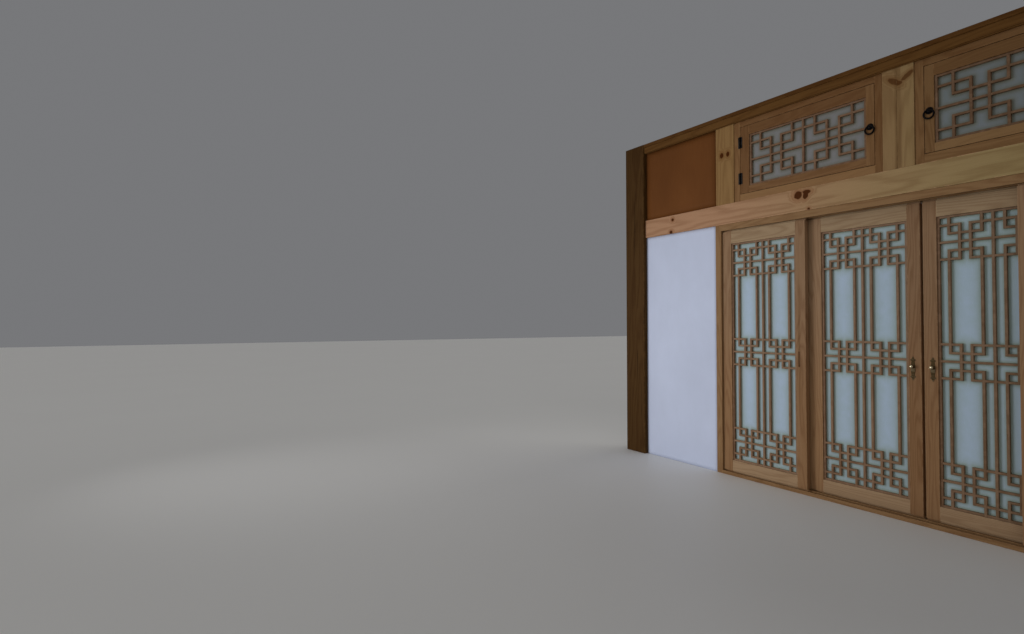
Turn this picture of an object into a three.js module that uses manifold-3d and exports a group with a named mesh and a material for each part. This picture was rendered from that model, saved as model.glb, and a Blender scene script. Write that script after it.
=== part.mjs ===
// A bay of a traditional timber wall: four sliding lattice leaves, two hinged lattice doors above them,
// plaster and board panels, and the posts, beam and moulding that hold them. Millimetres, +Z up.
// X runs along the wall with 0 at its middle, Y runs into the wall, and the room is on the -Y side.
import * as THREE from "three";
import { mergeVertices } from "three/addons/utils/BufferGeometryUtils.js";
import Module from "manifold-3d";

const wasm = await Module();
wasm.setup();

// Frame of the bay
const WALL_HEIGHT = 2400;
const HALF_BAY = 1772;
const POST_SIZE = 200;
const POST_CHAMFER = 7;
const MOULDING_HEIGHT = 72;
const MOULDING_FRONT = -90;
const CROWN_HEIGHT = 24;
const CROWN_FRONT = -97;
const BEAM_BOTTOM = 1672;
const BEAM_HEIGHT = 134;
const BEAM_FRONT = -80;
const BEAM_BACK = 70;
const PLASTER_FRONT = -68;
const PLASTER_BACK = 60;

// Frame of the sliding doors
const HALF_OPENING = 1075;
const JAMB_WIDTH = 43;
const FRAME_FRONT = -75;
const FRAME_BACK = 31;
const SILL_TOP = 22;
const HEAD_BOTTOM = 1631;
const TRACK_WIDTH = 23;
const HEAD_TRACK_DEPTH = 22;
const SILL_TRACK_DEPTH = 12;

// Sliding leaves. A back leaf has a broad stile where a front leaf laps over it, and where the two
// back leaves meet, a lip on the left one closes most of the gap.
const LEAF_HEIGHT = 1593;
const LEAF_THICKNESS = 33;
const LEAF_BOTTOM = 29;
const FRONT_TRACK = -60;
const BACK_TRACK = -17;
const JAMB_GAP = 2;
const MEETING_GAP = 13;
const MEETING_X = 96.5;
const STILE = 60;
const JAMB_STILE = 67;
const LAP_STILE = 95;
const LIP_REACH = 8;
const LIP_THICKNESS = 8;
const TOP_RAIL = 82;
const BOTTOM_RAIL = 71;
const TONGUE = 12;
const TONGUE_RISE = 20;
const RUNNING_GAP = 0.4;

// Lattice bars and paper
const BAR_FACE = 12;
const BAR_DEPTH = 15;
const LATTICE_SET_BACK = 6;
const LATTICE_WIDTH = 452;
const PAPER_THICKNESS = 2;
const COLUMNS = 10;
const LEAF_BANDS = [1, 15, 29];
const LEAF_ROWS = 34;
const UPPER_BANDS = [1];
const UPPER_ROWS = 6;
const BAND_ROWS = 4;

// Upper row
const UPPER_BOTTOM = BEAM_BOTTOM + BEAM_HEIGHT;
const UPPER_TOP = WALL_HEIGHT - MOULDING_HEIGHT;
const UPPER_X = 24.5;
const BOARD_BACK = -10;
const STILE_BOARD = 141.5;
const MULLION_HALF = 74;
const MULLION_SEAM = -5.5;
const CASING_WIDTH = 916;
const CASING_FRONT = -74;
const CASING_BACK = -22;
const CASING_HINGE_SIDE = 46;
const CASING_RING_SIDE = 41;
const CASING_TOP = 36;
const CASING_BOTTOM = 45;
const SASH_GAP = 3;
const SASH_FRONT = -74;
const SASH_THICKNESS = 30;
const SASH_HINGE_STILE = 63;
const SASH_RING_STILE = 42;
const SASH_TOP_RAIL = 59;
const SASH_BOTTOM_RAIL = 42;
const PANEL_FRONT = -70;
const PANEL_THICKNESS = 20;

// Metalwork
const PULL_HEIGHT = 124;
const PULL_WIDTH = 28;
const PULL_PLATE = 2.5;
const PULL_Z = 777;
const PULL_INSET = 38;
const KNOB_RADIUS = 9;
const KNOB_REACH = 24;
const KNOB_RISE = 10;
const GRIP_HEIGHT = 90;
const GRIP_WIDTH = 13;
const GRIP_DEPTH = 9;
const GRIP_Z = 793;
const GRIP_INSET = 40;
const RING_RADIUS = 22;
const RING_WIRE = 4.5;
const RING_STANDOFF = 7.5;
const BOSS_RADIUS = 18;
const HINGE_HEIGHT = 75;
const HINGE_WIDTH = 30;
const HINGE_PLATE = 2;
const KNUCKLE_RADIUS = 5;
const HINGE_INSET = 118;
const RING_DROP = 10;
const ROUND_STEPS = 20;

const wood = (color, roughness = 0.6) => new THREE.MeshStandardMaterial({ color, roughness });
const iron = (color, roughness) => new THREE.MeshStandardMaterial({ color, roughness, metalness: 0.8 });
const LOOKS = {
  post: wood(0x4a3424),
  moulding: wood(0x5f4128),
  pine: wood(0xb08a5e),
  frame: wood(0x8a6248),
  sash: wood(0x96694c),
  lattice: wood(0x7d5a44),
  board: wood(0x6b4028, 0.5),
  plaster: wood(0xb9bdcb, 0.9),
  paper: wood(0xb4c0c8, 0.9),
  bronze: iron(0x5a4a34, 0.4),
  blackened: iron(0x1c1a18, 0.5),
};

const wall = new THREE.Group();

function add(name, look, geometry, x = 0, y = 0, z = 0) {
  const mesh = new THREE.Mesh(geometry, LOOKS[look]);
  mesh.name = name;
  mesh.position.set(x, y, z);
  wall.add(mesh);
}

// A box between two corners.
function block(x0, x1, y0, y1, z0, z1) {
  const box = new THREE.BoxGeometry(x1 - x0, y1 - y0, z1 - z0);
  return box.translate((x0 + x1) / 2, (y0 + y1) / 2, (z0 + z1) / 2);
}

// An outline of [y, z] points, drawn out along X.
function alongX(points, x0, x1) {
  const shape = new THREE.Shape(points.map(([y, z]) => new THREE.Vector2(y, z)));
  const solid = new THREE.ExtrudeGeometry(shape, { depth: x1 - x0, bevelEnabled: false });
  const turn = new THREE.Matrix4().makeBasis(
    new THREE.Vector3(0, 1, 0),
    new THREE.Vector3(0, 0, 1),
    new THREE.Vector3(1, 0, 0),
  );
  return solid.applyMatrix4(turn).translate(x0, 0, 0);
}

// An outline of [x, z] points, drawn from y0 to y1.
function alongY(points, y0, y1) {
  const shape = new THREE.Shape(points.map(([x, z]) => new THREE.Vector2(x, z)));
  const solid = new THREE.ExtrudeGeometry(shape, { depth: y1 - y0, bevelEnabled: false });
  return solid.rotateX(Math.PI / 2).translate(0, y1, 0);
}

function toSolid(geometry) {
  const plain = new THREE.BufferGeometry();
  plain.setAttribute("position", geometry.getAttribute("position"));
  plain.setIndex(geometry.index);
  const merged = mergeVertices(plain, 1e-3);
  const mesh = new wasm.Mesh({
    numProp: 3,
    vertProperties: merged.getAttribute("position").array,
    triVerts: new Uint32Array(merged.index.array),
  });
  return new wasm.Manifold(mesh);
}

function toGeometry(solid) {
  const { vertProperties, triVerts } = solid.getMesh();
  const geometry = new THREE.BufferGeometry();
  geometry.setAttribute("position", new THREE.BufferAttribute(new Float32Array(vertProperties), 3));
  geometry.setIndex(new THREE.BufferAttribute(new Uint32Array(triVerts), 1));
  geometry.computeVertexNormals();
  return geometry;
}

function join(pieces) {
  return toGeometry(pieces.map(toSolid).reduce((whole, piece) => whole.add(piece)));
}

function cut(whole, tools) {
  return toGeometry(tools.map(toSolid).reduce((rest, tool) => rest.subtract(tool), toSolid(whole)));
}

// The bars of one lattice as [from column, from row, to column, to row], counted in cells from the
// top left corner. A band is four cells high, with a chain of hooked squares and a full middle bar.
function latticeBars(bands, rows) {
  const bars = [];
  bands.forEach((first, index) => {
    const last = first + BAND_ROWS;
    const above = index === 0 ? 0 : bands[index - 1] + BAND_ROWS - 1;
    const below = index === bands.length - 1 ? rows : null;
    for (const row of [first, last])
      for (const [from, to] of [[0, 2], [3, 7], [8, 10]]) bars.push([from, row, to, row]);
    for (const row of [first + 1, last - 1])
      for (const [from, to] of [[1, 4], [6, 9]]) bars.push([from, row, to, row]);
    bars.push([0, first + 2, COLUMNS, first + 2]);
    for (const column of [2, 3, 7, 8]) bars.push([column, first, column, last]);
    for (const column of [1, 4, 6, 9]) {
      bars.push([column, above, column, first + 1]);
      if (below !== null) bars.push([column, last - 1, column, below]);
    }
  });
  for (const column of [0, COLUMNS / 2, COLUMNS]) bars.push([column, 0, column, rows]);
  for (const row of [0, rows]) bars.push([0, row, COLUMNS, row]);
  return bars;
}

// The outermost bars lie flat against the sash and run all the way round.
function lattice(x0, x1, z0, z1, front, bands, rows) {
  const column = (x1 - x0 - BAR_FACE) / COLUMNS;
  const row = (z1 - z0 - BAR_FACE) / rows;
  const pieces = latticeBars(bands, rows).map(([c0, r0, c1, r1]) =>
    block(
      x0 + c0 * column,
      x0 + c1 * column + BAR_FACE,
      front,
      front + BAR_DEPTH,
      z1 - r1 * row - BAR_FACE,
      z1 - r0 * row,
    ),
  );
  return join(pieces);
}

function buildFrame() {
  const half = POST_SIZE / 2;
  const inner = half - POST_CHAMFER;
  const outline = [
    [-inner, -half], [inner, -half], [half, -inner], [half, inner],
    [inner, half], [-inner, half], [-half, inner], [-half, -inner],
  ];
  const section = new THREE.Shape(outline.map(([x, y]) => new THREE.Vector2(x, y)));
  const post = new THREE.ExtrudeGeometry(section, { depth: WALL_HEIGHT, bevelEnabled: false });
  add("left_post", "post", post, -HALF_BAY - half);
  add("right_post", "post", post.clone(), HALF_BAY + half);
  const crown = WALL_HEIGHT - CROWN_HEIGHT;
  const moulding = [
    [MOULDING_FRONT, UPPER_TOP], [BEAM_BACK, UPPER_TOP], [BEAM_BACK, WALL_HEIGHT],
    [CROWN_FRONT, WALL_HEIGHT], [CROWN_FRONT, crown], [MOULDING_FRONT, crown],
  ];
  add("ceiling_moulding", "moulding", alongX(moulding, -HALF_BAY, HALF_BAY));
  add("header_beam", "pine",
    block(-HALF_BAY, HALF_BAY, BEAM_FRONT, BEAM_BACK, BEAM_BOTTOM, UPPER_BOTTOM));
}

// The head and the sill have one groove for each track.
function buildDoorFrame() {
  const outer = HALF_OPENING + JAMB_WIDTH;
  const tracks = [FRONT_TRACK, BACK_TRACK].map((front) => front + (LEAF_THICKNESS - TRACK_WIDTH) / 2);
  const head = block(-HALF_OPENING, HALF_OPENING, FRAME_FRONT, FRAME_BACK, HEAD_BOTTOM, BEAM_BOTTOM);
  const sill = block(-HALF_OPENING, HALF_OPENING, FRAME_FRONT, FRAME_BACK, 0, SILL_TOP);
  const groove = (y, z0, z1) => block(-outer, outer, y, y + TRACK_WIDTH, z0, z1);
  add("door_head", "frame",
    cut(head, tracks.map((y) => groove(y, HEAD_BOTTOM - 1, HEAD_BOTTOM + HEAD_TRACK_DEPTH))));
  add("door_sill", "frame",
    cut(sill, tracks.map((y) => groove(y, SILL_TOP - SILL_TRACK_DEPTH, SILL_TOP + 1))));
  for (const [side, sign] of [["left", -1], ["right", 1]]) {
    const [x0, x1] = [sign * HALF_OPENING, sign * outer].sort((a, b) => a - b);
    add(`${side}_jamb`, "frame", block(x0, x1, FRAME_FRONT, FRAME_BACK, 0, BEAM_BOTTOM));
    const [p0, p1] = [sign * outer, sign * HALF_BAY].sort((a, b) => a - b);
    add(`${side}_plaster`, "plaster", block(p0, p1, PLASTER_FRONT, PLASTER_BACK, 0, BEAM_BOTTOM));
  }
}

// A stile or rail of a leaf. Its foot and its crown, where it has them, are tongues that run in the
// grooves of the sill and the head, and reach to the heights given.
function leafMember(x0, x1, front, z0, z1, foot, crown) {
  const back = front + LEAF_THICKNESS;
  const t0 = front + (LEAF_THICKNESS - TONGUE) / 2;
  const t1 = t0 + TONGUE;
  const below = foot === null ? [] : [[t0, z0], [t0, foot], [t1, foot], [t1, z0]];
  const above = crown === null ? [] : [[t1, z1], [t1, crown], [t0, crown], [t0, z1]];
  return alongX([[front, z0], ...below, [back, z0], [back, z1], ...above, [front, z1]], x0, x1);
}

// A stile with a thin strip along its back edge that reaches past its right side.
function lippedStile(stile, right, front) {
  const back = front + LEAF_THICKNESS;
  const top = LEAF_BOTTOM + LEAF_HEIGHT;
  const lip = block(right - 1, right + LIP_REACH, back - LIP_THICKNESS, back, LEAF_BOTTOM, top);
  return join([stile, lip]);
}

// A leaf is placed by the left edge of its lattice. The stiles stand to the left and right of it, and
// the right one can have a lip.
function buildLeaf(name, inLeft, leftStileWidth, rightStileWidth, front, footGap, gripSide, lipped = false) {
  const inRight = inLeft + LATTICE_WIDTH;
  const left = inLeft - leftStileWidth;
  const right = inRight + rightStileWidth;
  const z0 = LEAF_BOTTOM + BOTTOM_RAIL;
  const top = LEAF_BOTTOM + LEAF_HEIGHT;
  const z1 = top - TOP_RAIL;
  const grip = (x) =>
    block(x - GRIP_WIDTH / 2, x + GRIP_WIDTH / 2, front - 1, front + GRIP_DEPTH,
      GRIP_Z - GRIP_HEIGHT / 2, GRIP_Z + GRIP_HEIGHT / 2);
  const foot = SILL_TOP - SILL_TRACK_DEPTH + footGap;
  const crown = top + TONGUE_RISE;
  const leftStile = leafMember(left, inLeft, front, LEAF_BOTTOM, top, foot, crown);
  const plainRight = leafMember(inRight, right, front, LEAF_BOTTOM, top, foot, crown);
  const rightStile = lipped ? lippedStile(plainRight, right, front) : plainRight;
  add(`${name}_left_stile`, "sash", gripSide < 0 ? cut(leftStile, [grip(left + GRIP_INSET)]) : leftStile);
  add(`${name}_right_stile`, "sash", gripSide > 0 ? cut(rightStile, [grip(right - GRIP_INSET)]) : rightStile);
  add(`${name}_top_rail`, "sash", leafMember(inLeft, inRight, front, z1, top, null, crown));
  add(`${name}_bottom_rail`, "sash", leafMember(inLeft, inRight, front, LEAF_BOTTOM, z0, foot, null));
  const barFront = front + LATTICE_SET_BACK;
  add(`${name}_lattice`, "lattice", lattice(inLeft, inRight, z0, z1, barFront, LEAF_BANDS, LEAF_ROWS));
  const paper = barFront + BAR_DEPTH;
  add(`${name}_paper`, "paper", block(inLeft, inRight, paper, paper + PAPER_THICKNESS, z0, z1));
}

// A slim plate with a point and two barbs at each end, and a turned knob a little above its middle.
function buildPull(name, x, front) {
  const half = PULL_WIDTH / 2;
  const reach = PULL_HEIGHT / 2;
  const side = [
    [0.3 * half, 0.88 * reach], [0.36 * half, 0.8 * reach], [half, 0.7 * reach],
    [0.5 * half, 0.6 * reach], [0.56 * half, 0.4 * reach], [0.74 * half, 0.22 * reach],
  ];
  const rightSide = [...side, ...side.map(([px, pz]) => [px, -pz]).reverse()];
  const leftSide = rightSide.map(([px, pz]) => [-px, pz]).reverse();
  const outline = [[0, reach], ...rightSide, [0, -reach], ...leftSide];
  const plate = alongY(outline.reverse(), front - PULL_PLATE, front);
  const profile = [
    [0, -0.5], [5, -0.5], [5, 3], [3.8, 6], [4, 11], [KNOB_RADIUS - 1, 15],
    [KNOB_RADIUS, 19], [0.65 * KNOB_RADIUS, KNOB_REACH - 1], [0, KNOB_REACH],
  ];
  const knob = new THREE.LatheGeometry(profile.map(([r, h]) => new THREE.Vector2(r, h)), ROUND_STEPS);
  knob.rotateX(Math.PI).translate(0, front - PULL_PLATE, KNOB_RISE);
  add(name, "bronze", join([plate, knob]), x, 0, PULL_Z);
}

function buildUpperDoor(name, left, hingeSide) {
  const right = left + CASING_WIDTH;
  const hingeLeft = hingeSide < 0;
  const sashLeft = left + (hingeLeft ? CASING_HINGE_SIDE : CASING_RING_SIDE) + SASH_GAP;
  const sashRight = right - (hingeLeft ? CASING_RING_SIDE : CASING_HINGE_SIDE) - SASH_GAP;
  const sashBottom = UPPER_BOTTOM + CASING_BOTTOM + SASH_GAP;
  const sashTop = UPPER_TOP - CASING_TOP - SASH_GAP;
  const hole = block(sashLeft - SASH_GAP, sashRight + SASH_GAP, CASING_FRONT - 1, CASING_BACK + 1,
    sashBottom - SASH_GAP, sashTop + SASH_GAP);
  add(`${name}_casing`, "frame",
    cut(block(left, right, CASING_FRONT, CASING_BACK, UPPER_BOTTOM, UPPER_TOP), [hole]));
  const x0 = sashLeft + (hingeLeft ? SASH_HINGE_STILE : SASH_RING_STILE);
  const x1 = sashRight - (hingeLeft ? SASH_RING_STILE : SASH_HINGE_STILE);
  const z0 = sashBottom + SASH_BOTTOM_RAIL;
  const z1 = sashTop - SASH_TOP_RAIL;
  const sashBack = SASH_FRONT + SASH_THICKNESS;
  const light = block(x0, x1, SASH_FRONT - 1, sashBack + 1, z0, z1);
  add(`${name}_sash`, "sash",
    cut(block(sashLeft, sashRight, SASH_FRONT, sashBack, sashBottom, sashTop), [light]));
  const barFront = SASH_FRONT + LATTICE_SET_BACK;
  add(`${name}_lattice`, "lattice", lattice(x0, x1, z0, z1, barFront, UPPER_BANDS, UPPER_ROWS));
  const paper = barFront + BAR_DEPTH;
  add(`${name}_paper`, "paper", block(x0, x1, paper, paper + PAPER_THICKNESS, z0, z1));
  const hingeX = hingeLeft ? sashLeft - SASH_GAP / 2 : sashRight + SASH_GAP / 2;
  const middle = (sashBottom + sashTop) / 2;
  buildHinge(`${name}_lower_hinge`, hingeX, middle - HINGE_INSET);
  buildHinge(`${name}_upper_hinge`, hingeX, middle + HINGE_INSET);
  const ringX = hingeLeft ? sashRight - SASH_RING_STILE / 2 : sashLeft + SASH_RING_STILE / 2;
  buildRing(`${name}_ring_pull`, ringX, middle - RING_DROP);
}

// Two plates face on to the casing and the sash, with the knuckle between them.
function buildHinge(name, x, z) {
  const half = HINGE_HEIGHT / 2;
  const casingPlate = block(-HINGE_WIDTH / 2, 0, CASING_FRONT - HINGE_PLATE, CASING_FRONT, -half, half);
  const sashPlate = block(0, HINGE_WIDTH / 2, CASING_FRONT - HINGE_PLATE, CASING_FRONT, -half, half);
  const knuckle = new THREE.CylinderGeometry(KNUCKLE_RADIUS, KNUCKLE_RADIUS, HINGE_HEIGHT, ROUND_STEPS);
  knuckle.rotateX(Math.PI / 2).translate(0, CASING_FRONT - KNUCKLE_RADIUS, 0);
  add(name, "blackened", join([casingPlate, sashPlate, knuckle]), x, 0, z);
}

// A domed boss with a ring hanging from it.
function buildRing(name, x, z) {
  const profile = [[0, 0], [BOSS_RADIUS, 0], [BOSS_RADIUS, 2], [12, 3], [10, 9], [6, 12], [0, 13]];
  const boss = new THREE.LatheGeometry(profile.map(([r, h]) => new THREE.Vector2(r, h)), ROUND_STEPS);
  boss.rotateX(Math.PI).translate(0, SASH_FRONT, 0);
  const ring = new THREE.TorusGeometry(RING_RADIUS, RING_WIRE, 8, ROUND_STEPS);
  ring.rotateX(Math.PI / 2).translate(0, SASH_FRONT - RING_STANDOFF, -RING_RADIUS + 4);
  add(name, "blackened", join([boss, ring]), x, 0, z);
}

// The upper row is laid out evenly about the middle of its mullion, which stands off the bay's middle.
function buildUpperRow() {
  const casingOuter = MULLION_HALF + CASING_WIDTH;
  const boardOuter = casingOuter + STILE_BOARD;
  const piece = (x0, x1, front, back) =>
    block(UPPER_X + x0, UPPER_X + x1, front, back, UPPER_BOTTOM, UPPER_TOP);
  const board = (x0, x1) => piece(x0, x1, BEAM_FRONT, BOARD_BACK);
  const panel = (x0, x1) => piece(x0, x1, PANEL_FRONT, PANEL_FRONT + PANEL_THICKNESS);
  add("mullion_left_board", "pine", board(-MULLION_HALF, MULLION_SEAM));
  add("mullion_right_board", "pine", board(MULLION_SEAM, MULLION_HALF));
  add("upper_left_stile", "pine", board(-boardOuter, -casingOuter));
  add("upper_right_stile", "pine", board(casingOuter, boardOuter));
  add("upper_left_panel", "board", panel(-HALF_BAY - UPPER_X, -boardOuter));
  add("upper_right_panel", "board", panel(boardOuter, HALF_BAY - UPPER_X));
  buildUpperDoor("upper_left_door", UPPER_X - casingOuter, -1);
  buildUpperDoor("upper_right_door", UPPER_X + MULLION_HALF, 1);
}

buildFrame();
buildDoorFrame();
buildUpperRow();
const outerLattice = HALF_OPENING - JAMB_GAP - JAMB_STILE;
const leaf2Edge = MEETING_X - MEETING_GAP / 2;
const leaf3Edge = MEETING_X + MEETING_GAP / 2;
const leaf2Lattice = leaf2Edge - STILE - LATTICE_WIDTH;
buildLeaf("leaf_1", -outerLattice, JAMB_STILE, STILE, FRONT_TRACK, 0, 1);
buildLeaf("leaf_2", leaf2Lattice, LAP_STILE, STILE, BACK_TRACK, RUNNING_GAP, 0, true);
buildLeaf("leaf_3", leaf3Edge + STILE, STILE, LAP_STILE, BACK_TRACK, RUNNING_GAP, 0);
buildLeaf("leaf_4", outerLattice - LATTICE_WIDTH, STILE, JAMB_STILE, FRONT_TRACK, 0, -1);
buildPull("leaf_2_pull", leaf2Edge - PULL_INSET, BACK_TRACK);
buildPull("leaf_3_pull", leaf3Edge + PULL_INSET, BACK_TRACK);

export default wall;
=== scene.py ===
"""The visible pieces of a lattice-door wall: timber members, lattices, paper, plaster and metalwork."""
import math

import bpy
import numpy as np
from mathutils import Matrix, Vector


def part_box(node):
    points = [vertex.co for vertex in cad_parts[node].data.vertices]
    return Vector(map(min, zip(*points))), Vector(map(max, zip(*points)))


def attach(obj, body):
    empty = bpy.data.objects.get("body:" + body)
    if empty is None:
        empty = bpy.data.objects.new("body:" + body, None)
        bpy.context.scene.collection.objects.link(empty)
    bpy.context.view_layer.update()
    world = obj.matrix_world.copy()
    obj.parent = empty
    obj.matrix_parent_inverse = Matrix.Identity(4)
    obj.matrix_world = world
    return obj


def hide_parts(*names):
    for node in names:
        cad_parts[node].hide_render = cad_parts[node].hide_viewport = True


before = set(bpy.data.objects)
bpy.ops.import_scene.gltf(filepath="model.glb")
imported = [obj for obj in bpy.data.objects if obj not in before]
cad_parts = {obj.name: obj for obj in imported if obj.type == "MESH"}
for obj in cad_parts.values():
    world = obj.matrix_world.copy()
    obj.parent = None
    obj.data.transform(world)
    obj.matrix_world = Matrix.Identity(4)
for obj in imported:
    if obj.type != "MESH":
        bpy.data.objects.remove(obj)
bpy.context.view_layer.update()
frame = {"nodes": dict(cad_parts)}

bl_info = {
    "name": "Lattice Door Wall",
    "version": (1, 0, 0),
    "blender": (4, 5, 0),
    "location": "3D View > Sidebar > Wall",
    "description": "Builds the timber, lattice, paper, plaster and metal pieces of a lattice-door wall",
    "category": "Object",
}

AXES = {"x": (0, 1, 2), "y": (1, 0, 2), "z": (2, 0, 1)}

# Lengths are in metres. A tone is 0 for pale wood and 1 for dark, and may go past both.
# HIDDEN is how far a part ends inside its neighbour's face.
HIDDEN = 0.0002

# Head and sill
TRACKS = ((-0.055, -0.032), (-0.012, 0.011))
HEAD_GROOVE = 0.022
SILL_GROOVE = 0.012

# Sliding leaves, their tongues, the finger grips of the outer ones and the lip between the middle ones
LEAVES = ("leaf_1", "leaf_2", "leaf_3", "leaf_4")
LEAF_FOOT = 0.029
LEAF_TONES = {"bottom_rail": 0.05, "top_rail": 0.35, "leaf_2_left_stile": 0.1, "leaf_2_right_stile": 1.4}
LEAF_ENDS = 0.0006
TONGUE_HEIGHT = 0.020
TONGUE_HALF = 0.006
TONGUE_ROOT = 0.004
GRIPS = {"leaf_1_right_stile": -0.534, "leaf_4_left_stile": 0.534}
GRIP_Z = 0.793
GRIP_HALF_X = 0.0065
GRIP_HALF_Z = 0.045
GRIP_DEPTH = 0.009
LIPPED_STILE = "leaf_2_right_stile"
LIP_REACH = 0.008
LIP_THICKNESS = 0.008
LIP_FOOT = 0.0055
LIP_HEAD = 0.0080
LIP_SIDE = 0.0042
KNOB_RISE = 0.010

# Upper row: each board with its finish and tone, and the left, right, upper and lower tones of each door. The
# doors' tones are
# painted light: the upper rails are darker as painted shade under the ceiling and the lower rails paler
UPPER_DOORS = ("upper_left_door", "upper_right_door")
BOARDS = (
    ("upper_left_stile", "board_pine", 0.15), ("upper_right_stile", "board_pine", 0.35),
    ("mullion_left_board", "middle_pine", 0.30), ("mullion_right_board", "middle_pine", -0.25),
)
CASING_TONES = ((0.8, 2.0, 2.0, -0.8), (0.8, 1.2, 1.6, 0.2))
SASH_TONES = ((2.1, 0.6, 2.1, 0.9), (1.35, 1.2, 2.0, -0.8))
SASH_GAP = 0.003
V_JOINT = 0.0009
PANEL_BOW = 0.0008

# Lattices: owner, the rows where its bands of hooked squares start, and rows of cells
LATTICES = [(leaf, (1, 15, 29), 34) for leaf in LEAVES] + [(door, (1,), 6) for door in UPPER_DOORS]
COLUMNS = 10
BAR_WIDTH = 0.012
# The upright bar next to each left stile is darker: painted shade of the stile.
FIRST_BAR_SHADE = 1.5
# The upper doors' bars are darker: painted shade under the ceiling.
UPPER_BAR_SHADE = 1.8
# How far the paper's darkening near the bars reaches: glue, painted shade and painted reflection of the bars.
GLUE_AND_SHADE_SPREAD = 0.020

# Knots, as the x and z, half width, half height and turn in degrees of each
HEADER_KNOTS = (
    (-0.520, 1.770, 0.024, 0.024, 0), (-0.468, 1.780, 0.024, 0.0125, -4),
    (-0.474, 1.762, 0.0155, 0.023, -20), (-0.456, 1.6765, 0.009, 0.009, 0), (-1.496, 1.772, 0.012, 0.011, 0),
    (-1.512, 1.683, 0.014, 0.012, 0), (0.742, 1.694, 0.017, 0.016, 0), (1.213, 1.762, 0.018, 0.018, 0),
    (1.250, 1.765, 0.021, 0.024, 8),
)
BOARD_KNOTS = (
    (-1.059, 2.140, 0.014, 0.018, 0), (-1.011, 2.139, 0.012, 0.017, 0), (1.098, 1.962, 0.014, 0.016, 0),
)
MIDDLE_KNOTS = (
    (0.007, 2.261, 0.034, 0.013, -38), (0.070, 2.272, 0.034, 0.0115, 34), (0.031, 2.245, 0.016, 0.010, 0),
)

# Timbers: spacing of the rings, strength of the figure, roughness, and options of timber_finish
# Painted light: the along tints paint how the room's light falls off and changes colour from left to right.
TIMBERS = {
    "post_wood": (0.0065, 0.5, 0.5, {"checks": 1.0, "stain": 0.6, "coat": 0.0}),
    "moulding_wood": (0.006, 0.45, 0.46, {"stain": 0.4, "coat": 0.0}),
    "header_pine": (0.009, 0.42, 0.42, {"knots": HEADER_KNOTS, "along": (-1.3, 0.7, (0.82, 1.06, 0.84))}),
    "board_pine": (0.008, 0.42, 0.42, {"knots": BOARD_KNOTS}),
    # The middle pine's band is painted shade: a darker upright strip over the groove between the two middle
    # boards.
    "middle_pine": (0.008, 0.42, 0.42, {
        "knots": MIDDLE_KNOTS, "heart_depth": 0.66,
        "along": (0.030, 0.070, (0.99, 1.02, 1.0)), "band": (0.013, 0.038, (0.76, 0.72, 0.68))}),
    "frame_wood": (0.0045, 0.40, 0.42, {}),
    # Painted light: the down tints make the leaves' stiles, rails and bars redder and darker low down, for
    # the warmer, dimmer light near the floor.
    "stile_wood": (0.0045, 0.40, 0.42, {"down": (1.35, 0.45, (1.0, 0.92, 0.80))}),
    "rail_wood": (0.0045, 0.40, 0.42, {"down": (1.35, 0.45, (0.99, 0.93, 0.90))}),
    "casing_wood": (0.0045, 0.40, 0.42, {"along": (-0.25, 0.15, (0.90, 0.92, 0.92))}),
    "sash_wood": (0.0045, 0.40, 0.42, {"along": (-0.25, 0.15, (0.98, 1.04, 1.04))}),
    "bar_wood": (0.003, 0.40, 0.45, {
        "stain": 0.4, "along": (-0.3, 0.5, (0.80, 0.82, 0.80)), "down": (1.35, 0.45, (1.0, 0.96, 0.90))}),
}
# Painted light on the upper doors' paper: a tint along the wall for the light's falloff and change of colour.
UPPER_PAPER_LIGHT_ALONG = (-0.1, 0.15, (0.79, 0.935, 0.98))

# Camera: focal length and shift in pixels of a picture this wide, its place, and its turns in degrees
IMAGE_WIDTH = 1024
FOCAL_PIXELS = 574.5
SHIFT_PIXELS = -4.5
SENSOR = 36.0
CAMERA_PLACE = (1.476, -3.323, 1.0164)
CAMERA_TURNS = ((58.18, "Z"), (90.98, "X"), (-0.09, "Z"))

# Floor of the stage
FLOOR_HALF = 30
FLOOR_BELOW = 0.0005

# Lights: name, where it shines from towards the origin, strength, width in degrees and colour
SUNS = (
    ("far_light", (-0.6, -1.0, 0.40), 0.09, 60, (0.98, 0.98, 1.0)),
    ("room_light", (0.8, -1.0, 0.4), 0.42, 70, (1.0, 0.98, 0.957)),
    ("back_light", (0.4, 1.0, 0.7), 0.64, 60, (1.0, 0.99, 0.97)),
)
SUN_DISTANCE = 4
WINDOW_LIGHT = {
    "energy": 365.0, "color": (0.98, 0.98, 1.0), "shadow_soft_size": 1.3, "spot_size": math.radians(60),
    "spot_blend": 1.0,
}
WINDOW_PLACE = (-3.3, -4.2, 1.2)
WINDOW_AIM = (-1.2, 0, 0.9)
SURROUNDINGS = {"Color": (0.75, 0.76, 0.79, 1.0), "Strength": 0.245}


def length_property(name, description, default, least, most):
    return bpy.props.FloatProperty(
        name=name, description=description, default=default, min=least, max=most, unit="LENGTH")


class WallSizes(bpy.types.PropertyGroup):
    arris: length_property(
        "Arris", "Rounding of the edges of posts, beam and frame", 0.0022, 0.0002, 0.01)
    leaf_arris: length_property(
        "Leaf arris", "Rounding of the edges of stiles and rails", 0.0012, 0.0002, 0.005)
    bar_arris: length_property(
        "Bar arris", "Chamfer along the lattice bars", 0.0011, 0.0002, 0.004)
    bar_step: length_property(
        "Bar step", "How far the upright bars stand before the cross bars", 0.0005, 0.0001, 0.003)
    paper_wave: length_property(
        "Paper wave", "Depth of the slack in the paper between the bars", 0.0005, 0.0, 0.0009)
    plaster_wave: length_property(
        "Plaster wave", "Depth of the trowel's waves in the plaster", 0.0014, 0.0, 0.005)
    wire: length_property(
        "Ring wire", "Half the thickness of the ring pulls' wire", 0.0043, 0.001, 0.0045)


def colour_property(name, description, default):
    return bpy.props.FloatVectorProperty(
        name=name, description=description, default=default, min=0.0, max=1.0, size=3, subtype="COLOR")


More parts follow.
